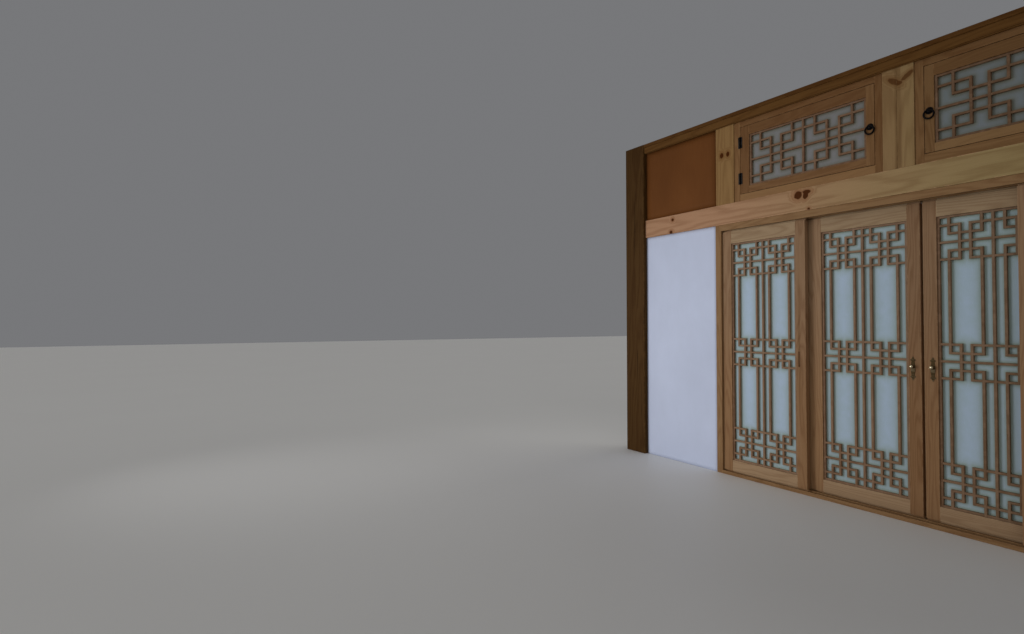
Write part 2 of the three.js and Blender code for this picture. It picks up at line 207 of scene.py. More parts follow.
class WallColours(bpy.types.PropertyGroup):
    header: colour_property("Header pine", "Pale wood of the header beam", (0.505, 0.291, 0.168))
    board: colour_property("Board pine", "Pale wood of the boards by the upper doors", (0.326, 0.190, 0.074))
    middle: colour_property("Middle pine", "Pale wood of the two middle boards", (0.336, 0.214, 0.098))
    knot: colour_property("Knots", "Heart of the knots", (0.092, 0.022, 0.0014))
    frame: colour_property("Frame wood", "Pale wood of the head, sill and jambs", (0.329, 0.195, 0.092))
    stile: colour_property("Stile wood", "Pale wood of the leaves' stiles", (0.358, 0.224, 0.126))
    rail: colour_property("Rail wood", "Pale wood of the leaves' rails", (0.420, 0.298, 0.178))
    # The casings' and sashes' wood is painted darker than the leaves' wood as shade under the ceiling.
    casing: colour_property("Casing wood", "Pale wood of the upper doors' casings", (0.300, 0.164, 0.070))
    sash: colour_property("Sash wood", "Pale wood of the upper doors' sashes", (0.280, 0.152, 0.066))
    bar: colour_property("Bar wood", "Pale wood of the lattice bars", (0.307, 0.198, 0.128))
    post: colour_property("Post wood", "Pale wood of the posts", (0.092, 0.047, 0.015))
    # The moulding's own darker wood, darkened further as painted shade under the ceiling.
    moulding: colour_property("Moulding wood", "Pale wood of the ceiling moulding", (0.157, 0.074, 0.021))
    # The end panels' stain, darkened further as painted shade under the ceiling.
    panel: colour_property("Brown panels", "Stain of the end panels", (0.171, 0.062, 0.016))
    # The paper's blue tint is the room's cool light painted in.
    paper: colour_property("Paper", "Mulberry paper of the leaves", (0.472, 0.590, 0.735))
    # The upper doors' paper is the same paper, darker and greyer as painted shade under the ceiling.
    old_paper: colour_property("Old paper", "Greyer paper of the upper doors", (0.283, 0.278, 0.306))
    # The plaster is white; its blue tint is the room's cool light painted in.
    plaster: colour_property("Plaster", "White plaster", (0.644, 0.704, 0.875))
    bronze: colour_property("Bronze", "Aged bronze of the pulls", (0.098, 0.064, 0.028))
    brass: colour_property("Brass", "Worn bright places of the pulls", (0.896, 0.770, 0.518))
    iron: colour_property("Iron", "Blackened iron of hinges and rings", (0.017, 0.015, 0.015))
    floor: colour_property("Floor", "Plain floor of the stage", (0.868, 0.854, 0.819))


def size(name):
    return getattr(bpy.context.scene.wall_sizes, name)


def paint(name):
    return tuple(getattr(bpy.context.scene.wall_colours, name))


def tinted(colour, *factors):
    """A colour with its red, green and blue multiplied, and kept at 1 or less."""
    factors = factors * 3 if len(factors) == 1 else factors
    return tuple(min(1.0, part * factor) for part, factor in zip(colour, factors))


# Surfaces

def reach(name):
    """Lowest and highest corner of a frame node, as arrays."""
    low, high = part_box(name)
    return np.array(tuple(low)), np.array(tuple(high))


def each(seed, *names):
    """Number, name, random draws, and lowest and highest corner of each of these nodes."""
    for number, name in enumerate(names):
        yield number, name, np.random.default_rng(seed + number), *reach(name)


def winding(x, y):
    """1 where an outline runs anticlockwise and -1 where it runs clockwise, from twice its signed area."""
    return np.sign(np.sum(x * np.roll(y, -1) - np.roll(x, -1) * y))


def soften(corners, radius, spread, steps=2):
    """A section's outline with its corners rounded. A corner C whose neighbours lie in the directions a and b
    becomes the curve (1-t)^2 (C + r a) + 2 t (1-t) C + t^2 (C + r b), between the points C + s a and C + s b.
    The second array is 1 on an outer edge, -1 in an inner corner and 0 away from both."""
    corners = np.asarray(corners, float)
    before = np.roll(corners, 1, axis=0) - corners
    after = np.roll(corners, -1, axis=0) - corners
    long_before = np.linalg.norm(before, axis=1)[:, None]
    long_after = np.linalg.norm(after, axis=1)[:, None]
    a, b = before / long_before, after / long_after
    room = np.minimum(long_before, long_after)
    r = np.minimum(radius, 0.35 * room)
    s = np.minimum(np.maximum(spread, 1.2 * r), 0.45 * room)
    t = np.linspace(0, 1, steps + 1)[None, :, None]
    c, ra, rb = corners[:, None], (r * a)[:, None], (r * b)[:, None]
    curve = (1 - t) ** 2 * (c + ra) + 2 * t * (1 - t) * c + t**2 * (c + rb)
    points = np.concatenate([(c + (s * a)[:, None]), curve, (c + (s * b)[:, None])], axis=1)
    turn = -a[:, 0] * b[:, 1] + a[:, 1] * b[:, 0]
    way = winding(corners[:, 0], corners[:, 1])
    outer = np.where(np.abs(turn) < 1e-6, 0, np.sign(turn) * way)[:, None]
    share = np.concatenate([[0.0], 0.6 + 0.4 * np.sin(np.pi * t.ravel()), [0.0]])[None]
    return points.reshape(-1, 2), (outer * share).ravel()


def rectangle(u0, u1, v0, v1):
    return [(u0, v0), (u1, v0), (u1, v1), (u0, v1)]


def placed(axis, along, u, v):
    """Points from their place along an axis and their two other coordinates."""
    points = np.empty((*np.shape(u), 3))
    for coordinate, values in zip(AXES[axis], (along, u, v)):
        points[..., coordinate] = values
    return points


def outward(points, faces):
    """The same faces, turned round where they enclose a negative volume. Six times that volume is the sum,
    over every triangle of the closed surface, of first . (second x third), from the middle of the points."""
    total = 0.0
    for block in faces:
        corner = (points - points.mean(axis=0))[block]
        total += np.sum(corner[:, :1] * np.cross(corner[:, 1:-1], corner[:, 2:]))
    return faces if total > 0 else [block[:, ::-1] for block in faces]


def grid_faces(rows, columns, wrap):
    """Quads between neighbouring points of a grid; the columns close on themselves if wrap is set."""
    last = columns if wrap else columns - 1
    i, j = np.meshgrid(np.arange(rows - 1), np.arange(last), indexing="ij")
    k = (j + 1) % columns
    corners = [i * columns + j, i * columns + k, (i + 1) * columns + k, (i + 1) * columns + j]
    return np.stack(corners, axis=-1).reshape(-1, 4)


def bar_faces(rows, columns):
    """A closed grid round a bar, and a flat face at each of its ends."""
    ring = np.arange(columns)[None]
    return [grid_faces(rows, columns, True), ring[:, ::-1], ring + columns * (rows - 1)]


class Part:
    """One closed surface: points, blocks of faces, which blocks are smooth, and the points' values."""

    def __init__(self, points, faces, smooth, grain, edge, tone):
        self.points = points
        self.faces = outward(points, faces)
        self.smooth = smooth
        self.grain = grain
        self.edge = np.broadcast_to(edge, len(points)).astype(float)
        self.tone = np.full(len(points), tone)


def grain_of(points, axis, luck, pith):
    """Place in the log: along the member, across its face from its middle, and in from the log's heart."""
    a, b, c = AXES[axis]
    across, through = (c, b) if axis == "x" else (b, c)
    low, high = points.min(axis=0), points.max(axis=0)
    side = points[:, across] - (low[across] + high[across]) / 2
    deep = points[:, through] - low[through]
    side = side + luck.uniform(-0.6, 0.6) * (high[across] - low[across])
    along = points[:, a] + luck.uniform(0, 40)
    return np.stack([along, side, deep + pith * luck.uniform(0.6, 1.5)], axis=1)


def carried(outline, edge, start, end, axis, luck, round_end=0.001, spread=0.004, pith=0.05,
            stations=(), shape=None, tone=None):
    """A member: an outline carried along a straight line. Near each end it shrinks inwards by e, 0.3 e and 0
    at the distances 0, 0.3 e and e, so that the ends are rounded too."""
    length = end - start
    e = min(round_end, length * 0.2)
    w = min(max(spread, 1.2 * e), length * 0.45)
    along = [0, 0.3 * e, e, w]
    inset = [e, 0.3 * e, 0, 0]
    rim = [0.6, 1, 0.6, 0]
    middle = sorted(set(stations))
    distance = np.array([start + d for d in along] + middle + [end - d for d in along[::-1]])
    shrink = np.array(inset + [0] * len(middle) + inset[::-1])
    ends = np.array(rim + [0] * len(middle) + rim[::-1])
    tangent = np.roll(outline, -1, axis=0) - np.roll(outline, 1, axis=0)
    tangent /= np.linalg.norm(tangent, axis=1)[:, None]
    way = winding(outline[:, 0], outline[:, 1])
    inward = way * np.stack([-tangent[:, 1], tangent[:, 0]], axis=1)
    section = outline[None] + shrink[:, None, None] * inward[None]
    points = placed(axis, distance[:, None], section[..., 0], section[..., 1])
    if shape is not None:
        points = shape(points)
    points = points.reshape(-1, 3)
    weight = np.where(edge[None] < 0, edge[None], np.maximum(edge[None], ends[:, None]))
    faces = bar_faces(len(distance), len(outline))
    tone = luck.uniform(0, 1) if tone is None else tone
    return Part(points, faces, (True, False, False), grain_of(points, axis, luck, pith), weight.ravel(), tone)


def member(low, high, axis, radius, luck, **options):
    """A straight piece of timber that fills a box, with rounded edges."""
    a, b, c = AXES[axis]
    spread = 0.0045
    outline, edge = soften(rectangle(low[b], high[b], low[c], high[c]), radius, spread)
    options = {"round_end": radius, "spread": spread, **options}
    return carried(outline, edge, low[a], high[a], axis, luck, **options)


def bar(low, high, axis, chamfer, luck, darker):
    """A lattice bar: a rectangle with chamfered corners carried along, its ends half way in to its core."""
    a, b, c = AXES[axis]
    k = chamfer
    u0, u1, v0, v1 = low[b], high[b], low[c], high[c]
    outline = np.array([(u0 + k, v0), (u1 - k, v0), (u1, v0 + k), (u1, v1 - k),
                        (u1 - k, v1), (u0 + k, v1), (u0, v1 - k), (u0, v0 + k)])
    core = np.repeat(np.array(rectangle(u0 + k, u1 - k, v0 + k, v1 - k)), 2, axis=0)
    core = np.roll(core, -1, axis=0)
    end = outline + 0.5 * (core - outline)
    section = np.stack([end, outline, outline, end])
    distance = np.array([low[a], low[a] + k / 2, high[a] - k / 2, high[a]])
    points = placed(axis, distance[:, None], section[..., 0], section[..., 1]).reshape(-1, 3)
    grain = grain_of(points, axis, luck, 0.03)
    return Part(points, bar_faces(4, 8), (False, False, False), grain, 0.35, luck.uniform(0, 1) + darker)


def sheet_between(low, high, across, up, front, back, luck):
    """A closed sheet over a grid in x and z: its front lies at the box's front plus front(x, z), its back
    at the box's back less back(x, z), and strips close the rim."""
    x, z = np.meshgrid(across, up, indexing="ij")
    face = np.stack([x, low[1] + front(x, z), z], axis=-1).reshape(-1, 3)
    rear = np.stack([x, high[1] - back(x, z), z], axis=-1).reshape(-1, 3)
    n, m = x.shape
    near = grid_faces(n, m, False)
    far = near[:, ::-1] + n * m
    index = np.arange(n * m).reshape(n, m)
    rims = []
    for line, turned in ((index[0], True), (index[-1], False), (index[:, 0], False), (index[:, -1], True)):
        strip = np.stack([line[:-1], line[1:], line[1:] + n * m, line[:-1] + n * m], axis=1)
        rims.append(strip[:, ::-1] if turned else strip)
    points = np.concatenate([face, rear])
    grain = points - (low + high) / 2 + luck.uniform(0, 20, 3)
    faces = [near, far, np.concatenate(rims)]
    return Part(points, faces, (True, True, False), grain, 0.0, luck.uniform(0, 1))


def turned(profile, centre, axis, luck, steps=32):
    """A profile of (radius r, height h) points turned about an axis w: c + r cos t u + r sin t v + h w, with
    one point for each end of the profile, where the radius is nothing."""
    a, b, c = AXES[axis]
    profile = np.asarray(profile, float)
    ring = profile[1:-1, :, None]
    angle = np.arange(steps) * 2 * np.pi / steps
    points = placed(axis, centre[a] + ring[:, 1], centre[b] + ring[:, 0] * np.cos(angle),
                    centre[c] + ring[:, 0] * np.sin(angle))
    poles = np.tile(np.asarray(centre, float), (2, 1))
    poles[:, a] += profile[[0, -1], 1]
    points = np.concatenate([points.reshape(-1, 3), poles])
    count = len(ring) * steps
    k = np.arange(steps)
    foot = np.stack([np.full(steps, count), (k + 1) % steps, k], axis=1)
    top = np.stack([np.full(steps, count + 1), count - steps + k, count - steps + (k + 1) % steps], axis=1)
    faces = [grid_faces(len(ring), steps, True), foot, top]
    return Part(points, faces, (True, True, True), points, 0.4, luck.uniform(0, 1))


def hoop(centre, radius, wire, axis, luck, tilt=0.0, steps=56, around=14):
    """A ring of round wire: c + (R + q cos s)(cos t u + sin t v) + q sin s w, with w leaning by tilt."""
    a, b, c = AXES[axis]
    t, s = np.meshgrid(*(np.arange(n) * 2 * np.pi / n for n in (steps, around)), indexing="ij")
    out = radius + wire * np.cos(s)
    points = placed(axis, centre[a] + wire * np.sin(s) + tilt * out * np.sin(t), centre[b] + out * np.cos(t),
                    centre[c] + out * np.sin(t)).reshape(-1, 3)
    closing = grid_faces(2, around, True)
    closing = np.where(closing < around, closing + (steps - 1) * around, closing - around)
    faces = [grid_faces(steps, around, True), closing]
    return Part(points, faces, (True, True), points, 0.4, luck.uniform(0, 1))


def build(name, parts, look, slot, node):
    """Puts the parts into one mesh that stands for a frame node, with grain, edge and tone as attributes."""
    offsets = np.cumsum([0] + [len(part.points) for part in parts[:-1]])
    points = np.concatenate([part.points for part in parts])
    faces = []
    smooth = []
    for part, offset in zip(parts, offsets):
        for block, soft in zip(part.faces, part.smooth):
            faces += (block + offset).tolist()
            smooth += [soft] * len(block)
    mesh = bpy.data.meshes.new(name)
    mesh.from_pydata(points.tolist(), [], faces)
    mesh.polygons.foreach_set("use_smooth", np.array(smooth, bool))
    for label, kind, field in (("grain", "FLOAT_VECTOR", "vector"), ("edge", "FLOAT", "value"),
                               ("tone", "FLOAT", "value")):
        values = np.concatenate([getattr(part, label) for part in parts]).astype(np.float32)
        mesh.attributes.new(label, kind, "POINT").data.foreach_set(field, values.ravel())
    mesh.update()
    mesh.materials.append(finish_named(look))
    piece = bpy.data.objects.new(name, mesh)
    bpy.context.scene.collection.objects.link(piece)
    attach(piece, body_of(node))
    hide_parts(node)


def body_of(node):
    """The two middle leaves slide; all else is the wall."""
    leaf = node[:len("leaf_2")]
    return leaf if leaf in ("leaf_2", "leaf_3") else "wall"


# Finishes

def arithmetic(operation, reflected=False):
    """A method that adds a Math node on a value and another, in reverse order where it is reflected."""
    def method(self, other):
        return self.math(operation, other, self) if reflected else self.math(operation, self, other)
    return method


class Value:
    """A socket in a finish. Arithmetic on it adds the Math nodes that work it out."""

    def __init__(self, finish, socket):
        self.finish = finish
        self.socket = socket

    def math(self, operation, *values, clamp=False):
        settings = {"operation": operation, "use_clamp": clamp}
        return self.finish.node("ShaderNodeMath", settings, dict(enumerate(values)))

    __add__ = arithmetic("ADD")
    __radd__ = arithmetic("ADD", reflected=True)
    __sub__ = arithmetic("SUBTRACT")
    __rsub__ = arithmetic("SUBTRACT", reflected=True)
    __mul__ = arithmetic("MULTIPLY")
    __rmul__ = arithmetic("MULTIPLY", reflected=True)
    __truediv__ = arithmetic("DIVIDE")
    __rtruediv__ = arithmetic("DIVIDE", reflected=True)
    __pow__ = arithmetic("POWER")
    __rpow__ = arithmetic("POWER", reflected=True)
    highest = arithmetic("MAXIMUM")

    def __neg__(self):
        return self * -1.0

    def clamped(self):
        return self.math("ADD", self, 0.0, clamp=True)

    def wave(self):
        return self.math("SINE", self) * 0.5 + 0.5

    def smooth(self, low, high):
        """0 below low, 1 above high and a smooth rise between; falls instead where low is above high."""
        ends = (low, high, 0.0, 1.0) if low < high else (high, low, 1.0, 0.0)
        settings = {"interpolation_type": "SMOOTHSTEP"}
        return self.finish.node("ShaderNodeMapRange", settings, dict(enumerate((self, *ends))))


class Finish:
    """A material under construction."""

    def __init__(self, name):
        self.material = bpy.data.materials.new(name + "_finish")
        self.material.use_nodes = True
        self.tree = self.material.node_tree
        self.tree.nodes.clear()
        self.object = self.node("ShaderNodeTexCoord", {}, {}, "Object")

    def node(self, kind, settings, values, output=0):
        """Adds a node: its settings first, then a value or link for each socket."""
        made = self.tree.nodes.new(kind)
        for label, setting in settings.items():
            setattr(made, label, setting)
        for label, value in values.items():
            if isinstance(value, Value):
                self.tree.links.new(value.socket, made.inputs[label])
            else:
                made.inputs[label].default_value = value
        return Value(self, made.outputs[output]) if made.outputs else None

    def place(self, axis):
        """A point's place along the wall, 0, through it, 1, or up it, 2."""
        return self.node("ShaderNodeSeparateXYZ", {}, {0: self.object}, axis)

    def attribute(self, name, output="Fac"):
        settings = {"attribute_type": "GEOMETRY", "attribute_name": name}
        return self.node("ShaderNodeAttribute", settings, {}, output)

    def stretched(self, vector, factors):
        return self.node("ShaderNodeVectorMath", {"operation": "MULTIPLY"}, {0: vector, 1: factors})

    def noise(self, vector, scale, detail=2.0, roughness=0.5, factors=None):
        vector = vector if factors is None else self.stretched(vector, factors)
        values = {"Vector": vector, "Scale": scale, "Detail": detail, "Roughness": roughness}
        return self.node("ShaderNodeTexNoise", {"noise_dimensions": "3D"}, values)

    def mix(self, share, first, second, blend="MIX"):
        """A colour between first and second."""
        settings = {"data_type": "RGBA", "blend_type": blend, "clamp_factor": True}
        mixed = [value if isinstance(value, Value) else (*value[:3], 1.0) for value in (first, second)]
        return self.node("ShaderNodeMix", settings, {0: share, 6: mixed[0], 7: mixed[1]}, 2)

    def changed(self, colour, axis, change):
        """The colour, which from one place along an axis to another takes on a tint."""
        if change is None:
            return colour
        start, end, tint = change
        return self.mix(self.place(axis).smooth(start, end), colour, tint, "MULTIPLY")

    def bump(self, height, distance, strength):
        return self.node("ShaderNodeBump", {}, {"Strength": strength, "Distance": distance, "Height": height})

    def surface(self, varying, fixed):
        """The shader: what varies over the surface is linked, and the rest is set on its own sockets."""
        shader = self.node("ShaderNodeBsdfPrincipled", {}, {**varying, **fixed})
        self.node("ShaderNodeOutputMaterial", {}, {"Surface": shader})
        return self.material


def knot_marks(finish, knots):
    """Hearts of the knots and the halo of bent grain round them, from the distance to a turned oval."""
    x, z = finish.place(0), finish.place(2)
    rough = finish.noise(finish.object, 90.0, 2.0)
    heart = halo = None
    for knot_x, knot_z, half_x, half_z, turn in knots:
        c, s = math.cos(math.radians(turn)), math.sin(math.radians(turn))
        dx, dz = x - knot_x, z - knot_z
        u = (dx * c + dz * s) / half_x
        v = (dz * c - dx * s) / half_z
        away = (u * u + v * v) ** 0.5 + rough * 0.5 - 0.25
        own_heart = away.smooth(1.15, 0.85)
        own_halo = away.smooth(3.6, 0.9)
        heart = own_heart if heart is None else heart.highest(own_heart)
        halo = own_halo if halo is None else halo.highest(own_halo)
    return heart, halo


def timber_finish(name, pale, ring, figure, gloss, knots=(), heart_depth=0.97, checks=0.0, stain=0.25,
                  coat=0.02, along=None, down=None, band=None):
    """Sawn and lacquered timber: growth rings about the log's heart, fibres, pores, knots, drying cracks,
    worn outer edges and darker inner corners. The tints along the wall and down it are painted light: the
    light's falloff and change of colour along the wall, and the warmer light low down. A band is an upright
    darker strip, painted shade of the groove between the two middle boards."""
    dark = tinted(pale, 0.62, 0.54, 0.48)
    finish = Finish(name)
    grain = finish.attribute("grain", "Vector")
    edge = finish.attribute("edge")
    tone = finish.attribute("tone")
    wander = finish.noise(grain, 3.0, 2.0, 0.5, (0.5, 4.0, 4.0))
    ripple = finish.noise(grain, 22.0, 2.0, 0.55, (0.25, 3.0, 3.0))
    section = finish.stretched(grain, (0.012, 1.0, 1.0))
    away = finish.node("ShaderNodeVectorMath", {"operation": "LENGTH"}, {0: section}, 1)
    phase = (away + wander * 0.03 + ripple * 0.0035) * (2 * math.pi / ring)
    if knots:
        heart, halo = knot_marks(finish, knots)
        phase = phase + halo * halo * 14.0
    rings = phase.wave() ** 1.8
    fibre = finish.noise(grain, 60.0, 4.0, 0.65, (0.12, 14.0, 14.0))
    pores = finish.noise(grain, 420.0, 2.0, 0.6, (0.06, 3.0, 3.0)).smooth(0.60, 0.78)
    broad = finish.noise(grain, 1.6, 3.0, 0.55, (0.5, 5.0, 5.0))
    # The tone darkens a part; some tones are painted shade: the upper doors' rails, the moulding's top strip
    # and some bars.
    share = rings * figure + (fibre - 0.5) * 0.9 + (broad - 0.5) * 1.1 * stain + (tone - 0.5) * 0.35 + 0.25
    colour = finish.mix(share.clamped(), pale, dark)
    # Painted light: a tint along the wall for the light's falloff and change of colour, and a redder, darker
    # tint low down for the light near the floor.
    colour = finish.changed(finish.changed(colour, 0, along), 2, down)
    # Painted shade: a darker upright strip over the groove between the middle boards.
    if band:
        start, end, tint = band
        place = finish.place(0) + (wander - 0.5) * 0.01
        strip = place.smooth(start - 0.008, start + 0.004) * place.smooth(end + 0.009, end - 0.004)
        colour = finish.mix(strip, colour, tint, "MULTIPLY")
    colour = finish.mix(pores * 0.30, colour, tinted(dark, 0.45))
    if knots:
        colour = finish.mix(halo * halo * 0.6, colour, tinted(dark, 0.9, 0.75, 0.6))
        knot = finish.mix(fibre, paint("knot"), tinted(paint("knot"), 0.5))
        colour = finish.mix(heart * heart_depth, colour, knot)
    height = fibre * 0.5 - pores * 0.8 + rings * 0.35
    if checks:
        crack = finish.noise(grain, 34.0, 3.0, 0.6, (0.045, 3.0, 3.0)).smooth(0.655, 0.70) * checks
        colour = finish.mix(crack, colour, tinted(dark, 0.18))
        height = height - crack * 6.0
    patchy = finish.noise(finish.object, 38.0, 3.0, 0.6)
    worn = (edge.highest(0.0) * patchy.smooth(0.42, 0.66)).clamped() * 0.55
    # Darker in inner corners, where the edge value is below 0.
    inner_corner_dark = (-edge).highest(0.0) * 0.75
    colour = finish.mix(worn, colour, tinted(pale, 1.4))
    colour = finish.mix(inner_corner_dark, colour, tinted(dark, 0.3))
    roughness = fibre * 0.22 + patchy * 0.16 + pores * 0.15 + worn * 0.2 + (gloss - 0.19)
    varying = {
        "Base Color": colour, "Roughness": roughness.clamped(), "Normal": finish.bump(height, 0.0003, 0.55),
        "Coat Weight": (patchy * coat).clamped(),
    }
    return finish.surface(varying, {"Specular IOR Level": 0.03, "Coat Roughness": 0.4})


def panel_finish():
    """Smooth stained board: very fine upright streaks and a satin sheen."""
    panel = paint("panel")
    finish = Finish("brown_board")
    grain = finish.attribute("grain", "Vector")
    streak = finish.noise(grain, 30.0, 4.0, 0.6, (9.0, 3.0, 0.25))
    cloud = finish.noise(grain, 3.0, 3.0, 0.5)
    drift = finish.noise(finish.object, 0.9, 2.0, 0.5)
    share = ((streak - 0.5) * 0.6 + (cloud - 0.5) * 0.9 + (drift - 0.5) * 1.6 + 0.5).clamped()
    colour = finish.mix(share, tinted(panel, 1.12), tinted(panel, 0.70, 0.68, 0.7))
    speck = finish.noise(grain, 500.0, 1.0, 0.5).smooth(0.66, 0.75)
    colour = finish.mix(speck * 0.25, colour, tinted(panel, 0.4))
    normal = finish.bump(streak * 0.6 + cloud * 0.4, 0.0002, 0.4)
    varying = {"Base Color": colour, "Roughness": streak * 0.2 + cloud * 0.12 + 0.40, "Normal": normal}
    return finish.surface(varying, {"Specular IOR Level": 0.05})


def paper_finish(name, pale, along=None):
    """Mulberry paper: long fibres lying every way, clouds of pulp, and darker and olive near the bars, where
    it is glued and where painted shade and painted reflection of the bars' wood fall.
    """
    finish = Finish(name)
    grain = finish.attribute("grain", "Vector")
    glue_and_bar_shade = finish.attribute("edge")
    pulp = finish.noise(grain, 24.0, 4.0, 0.6)
    cloud = finish.noise(grain, 2.2, 2.0, 0.5)
    fibres = None
    for turn, scale in ((0.4, 46.0), (1.5, 58.0), (2.6, 40.0)):
        lie = finish.node("ShaderNodeMapping", {"vector_type": "POINT"},
                          {"Vector": grain, "Rotation": (0.0, turn, 0.0), "Scale": (7.0, 1.0, 0.5)})
        strength = 0.5 + 0.2 * math.cos(turn) * math.sin(turn)
        strand = finish.noise(lie, scale, 2.0, 0.55).smooth(0.655, 0.70) * strength
        fibres = strand if fibres is None else fibres.highest(strand)
    share = ((pulp - 0.5) * 0.8 + (cloud - 0.5) * 0.9 + 0.12).clamped()
    colour = finish.changed(finish.mix(share, pale, tinted(pale, 0.78, 0.84, 0.70)), 0, along)
    # Near the bars: glue, painted shade of the bars and painted reflection of their wood.
    colour = finish.mix(glue_and_bar_shade * 0.88, colour, tinted(pale, 0.62, 0.62, 0.36))
    colour = finish.mix(fibres * 0.35, colour, tinted(pale, 1.22))
    normal = finish.bump(pulp * 0.5 + fibres * 0.8, 0.0003, 0.5)
    varying = {"Base Color": colour, "Roughness": pulp * 0.1 + 0.82, "Normal": normal}
    return finish.surface(varying, {"Specular IOR Level": 0.25})


def plaster_finish():
    """White plaster, tinted blue as painted cool light: trowel clouds, fine sand and small pits."""
    plaster = paint("plaster")
    finish = Finish("plaster")
    grain = finish.attribute("grain", "Vector")
    cloud = finish.noise(grain, 2.4, 4.0, 0.55)
    sweep = finish.noise(grain, 9.0, 3.0, 0.6, (1.0, 1.0, 0.45))
    sand = finish.noise(grain, 420.0, 3.0, 0.65)
    pits = finish.noise(grain, 130.0, 2.0, 0.5).smooth(0.70, 0.78)
    share = ((cloud - 0.5) * 0.9 + (sweep - 0.5) * 0.5 + (sand - 0.5) * 0.25 + 0.35).clamped()
    colour = finish.mix(share, plaster, tinted(plaster, 0.82))
    colour = finish.mix(pits * 0.3, colour, tinted(plaster, 0.6))
    normal = finish.bump(sweep * 2.0 + sand * 0.35 - pits * 0.8, 0.0005, 0.5)
    varying = {"Base Color": colour, "Roughness": sand * 0.12 + 0.82, "Normal": normal}
    return finish.surface(varying, {"Specular IOR Level": 0.3})


def metal_finish(name, base, bright, dull, rough, wear):
    """Old metal: patina in clouds, pits, and bright rubbed places on what stands out."""
    finish = Finish(name)
    patina = finish.noise(finish.object, 140.0, 4.0, 0.65)
    cloud = finish.noise(finish.object, 45.0, 2.0, 0.5)
    pits = finish.noise(finish.object, 900.0, 2.0, 0.6).smooth(0.62, 0.74)
    edge = finish.attribute("edge")
    rubbed = (edge * 1.1 + (cloud - 0.5) * 0.9 + (patina - 0.5) * 0.6 - 0.35).smooth(0.15, 0.75) * wear
    colour = finish.mix((patina * 0.9 + (cloud - 0.5) * 0.5).clamped(), base, dull)
    colour = finish.mix(rubbed, colour, bright)
    colour = finish.mix(pits * 0.5, colour, tinted(dull, 0.35))
    roughness = (patina * 0.25 + pits * 0.2 - rubbed * 0.22 + rough).clamped()
    normal = finish.bump(patina * 0.5 - pits * 0.7, 0.0002, 0.5)
    return finish.surface({"Base Color": colour, "Roughness": roughness, "Normal": normal}, {"Metallic": 1.0})


def finish_named(name):
    """Finds a finish, or makes it the first time that it is asked for. A timber's colour has its name
    without the second word."""
    found = bpy.data.materials.get(name + "_finish")
    if found is not None:
        return found
    if name in TIMBERS:
        ring, figure, gloss, options = TIMBERS[name]
        return timber_finish(name, paint(name.split("_")[0]), ring, figure, gloss, **options)
    if name in ("brown_board", "plaster"):
        return {"brown_board": panel_finish, "plaster": plaster_finish}[name]()
    if name == "door_paper":
        return paper_finish(name, paint("paper"))
    if name == "old_paper":
        return paper_finish(name, paint("old_paper"), UPPER_PAPER_LIGHT_ALONG)
    bronze, brass = paint("bronze"), paint("brass")
    metals = {
        "bronze": (bronze, tinted(brass, 0.6), tinted(bronze, 0.35), 0.44, 0.12),
        "brass": (brass, tinted(brass, 1.2), bronze, 0.12, 1.0),
        "blackened_iron": (paint("iron"), (0.10, 0.09, 0.08), (0.006, 0.005, 0.005), 0.36, 0.35),
    }
    return metal_finish(name, *metals[name])


# Pieces

class WALL_OT_posts(bpy.types.Operator):
    """Two dark posts: a square with broad rounded chamfers carried upwards"""

    bl_idname = "wall.posts"
    bl_label = "Posts"

    def execute(self, context):
        for _, name, luck, low, high in each(10, "left_post", "right_post"):
            outline, edge = soften(rectangle(low[0], high[0], low[1], high[1]), 0.009, 0.016, 3)
            post = carried(outline, edge, low[2], high[2], "z", luck, 0.002, 0.006, pith=0.08)
            build(name + "_timber", [post], "post_wood", "post_wood", name)
        return {"FINISHED"}


class WALL_OT_moulding(bpy.types.Operator):
    """Ceiling moulding: a board with a quirk at its foot, and a narrow strip before its top, carried along"""

    bl_idname = "wall.moulding"
    bl_label = "Ceiling moulding"

    def execute(self, context):
        for _, name, luck, low, high in each(20, "ceiling_moulding"):
            front, back, foot, top = low[1], high[1], low[2], high[2]
            face, crown = front + 0.007, top - 0.024
            quirk = face + 0.004
            board = [(quirk, foot), (back, foot), (back, top), (face, top), (face, foot + 0.005),
                     (quirk, foot + 0.005)]
            strip = [(front, crown + 0.003), (front, top - 0.0003), (face + 0.0005, top - 0.0003),
                     (face + 0.0005, crown), (front + 0.003, crown)]
            parts = []
            # The narrow top strip is darker (tone 1.6) as painted shade under the ceiling.
            for corners, inset, tone in ((board, 0, 0.2), (strip, HIDDEN, 1.6)):
                outline, edge = soften(corners, 0.0012, 0.003)
                parts.append(carried(outline, edge, low[0] + inset, high[0] - inset, "x", luck, 0.0005, 0.004,
                                     pith=0.06, tone=tone))
            build(name + "_timber", parts, "moulding_wood", "moulding_wood", name)
        return {"FINISHED"}


class WALL_OT_beam(bpy.types.Operator):
    """Header beam of knotty pine: a rounded rectangle carried along the wall"""

    bl_idname = "wall.beam"
    bl_label = "Header beam"

    def execute(self, context):
        for _, name, luck, low, high in each(33, "header_beam"):
            part = member(low, high, "x", size("arris"), luck, round_end=0.0005, pith=0.05, tone=0.45)
            build(name + "_timber", [part], "header_pine", "pine", name)
        return {"FINISHED"}


def grooved(low, high, up):
    """Section of the sill, or of the head if up isn't set: a rectangle with a square groove per track."""
    corners = [(low[1], low[2]), (low[1], high[2]), (high[1], high[2]), (high[1], low[2])]
    face, bed = (high[2], high[2] - SILL_GROOVE) if up else (low[2], low[2] + HEAD_GROOVE)
    cuts = [point for y0, y1 in TRACKS for point in ((y0, face), (y0, bed), (y1, bed), (y1, face))]
    return corners[:2] + cuts + corners[2:] if up else corners + cuts[::-1]


